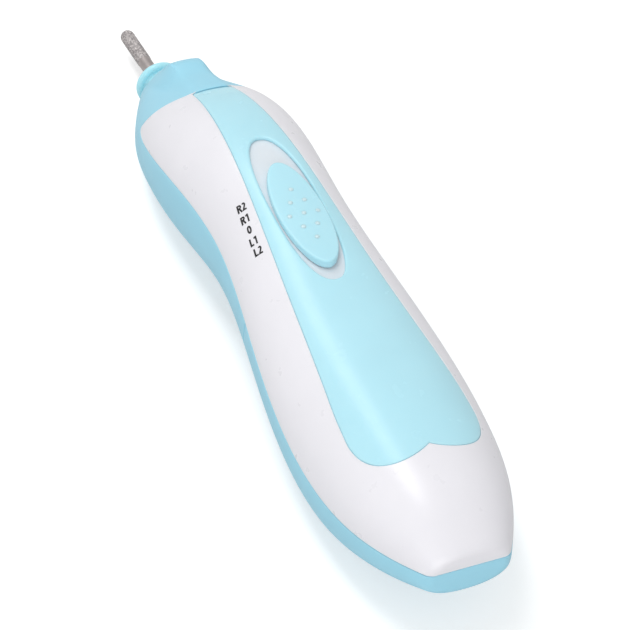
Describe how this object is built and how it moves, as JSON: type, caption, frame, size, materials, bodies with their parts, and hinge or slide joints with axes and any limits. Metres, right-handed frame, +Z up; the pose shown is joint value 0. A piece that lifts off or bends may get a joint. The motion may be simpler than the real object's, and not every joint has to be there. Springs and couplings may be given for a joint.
{
  "type": "electric callus remover",
  "caption": "Cordless electric callus remover: a waisted two-tone battery handle with a slide switch, a collared nose and a rotating diamond-coated bit.",
  "frame": {"origin": "under the middle of the whole object, bit included, on the surface that it lies on", "axes": "+X from the tail to the nose and bit, +Y to the side with the switch marks, +Z up to the switch"},
  "size_m": [0.1872, 0.0386, 0.0381],
  "materials": {
    "shell_white": "smooth satin-gloss moulded shell",
    "shell_blue": "smooth satin-gloss moulded shell",
    "panel_blue": "glossy inlaid panel and button",
    "collar_blue": "glossy moulded collar",
    "diamond_grit": "matt diamond grit in nickel plate",
    "bare_steel": "ground steel",
    "brass": "sintered or stamped",
    "copper": "enamelled wire or segment",
    "black_plastic": "moulded",
    "cream_plastic": "moulded",
    "board_green": "solder mask",
    "felt": "pressed felt",
    "foam": "closed-cell foam",
    "magnet": "sintered ferrite",
    "laminations": "stacked steel",
    "cell_sleeve": "printed film sleeve over a steel can",
    "wire_red": "insulated",
    "wire_black": "insulated"
  },
  "bodies": {
    "handle": {"upper_shell": "shell_white", "lower_shell": "shell_blue", "top_panel": "panel_blue", "switch_board": "board_green", "board_screws": "bare_steel", "detent_rail": "cream_plastic", "nose_collar": "collar_blue", "front_bush": "brass", "rear_bush": "brass", "dust_seal": "felt", "motor_can": "bare_steel", "motor_magnets": "magnet", "motor_end_bell": "cream_plastic", "motor_brushes": "copper", "motor_terminals": "brass", "motor_pad": "foam", "battery_tray": "cream_plastic", "cell_left": "cell_sleeve", "cell_right": "cell_sleeve", "rear_contact": "bare_steel", "rear_spring": "bare_steel", "front_button_contact": "bare_steel", "front_spring_contact": "bare_steel", "front_spring": "bare_steel", "housing_screws": "bare_steel", "battery_wire_red": "wire_red", "battery_wire_black": "wire_black", "motor_wire_red": "wire_red", "motor_wire_black": "wire_black"},
    "switch": {"switch_button": "panel_blue", "switch_carriage": "black_plastic", "wiper_contact": "brass"},
    "rotor": {"spindle": "bare_steel", "thrust_washer": "brass", "shaft_coupling": "black_plastic", "motor_shaft": "bare_steel", "armature_core": "laminations", "armature_windings": "copper", "commutator": "copper"},
    "bit": {"bit_shank": "bare_steel", "bit_head": "diamond_grit"},
    "cover": {"battery_cover": "shell_blue"}
  },
  "joints": [
    {"name": "switch_slide", "type": "slide", "parent": "handle", "child": "switch", "axis": [0.998, 0, 0.0628], "range_m": [-0.00295, 0.00885]},
    {"name": "spindle_spin", "type": "hinge", "parent": "handle", "child": "rotor", "pos_m": [0.06638, 0, 0.0084], "axis": [0.9942, 0, -0.108], "continuous": true},
    {"name": "bit_pull", "type": "slide", "parent": "rotor", "child": "bit", "axis": [0.9942, 0, -0.108], "range_m": [0, 0.02]},
    {"name": "cover_lift", "type": "slide", "parent": "handle", "child": "cover", "axis": [0, 0, -1], "range_m": [0, 0.03]}
  ]
}
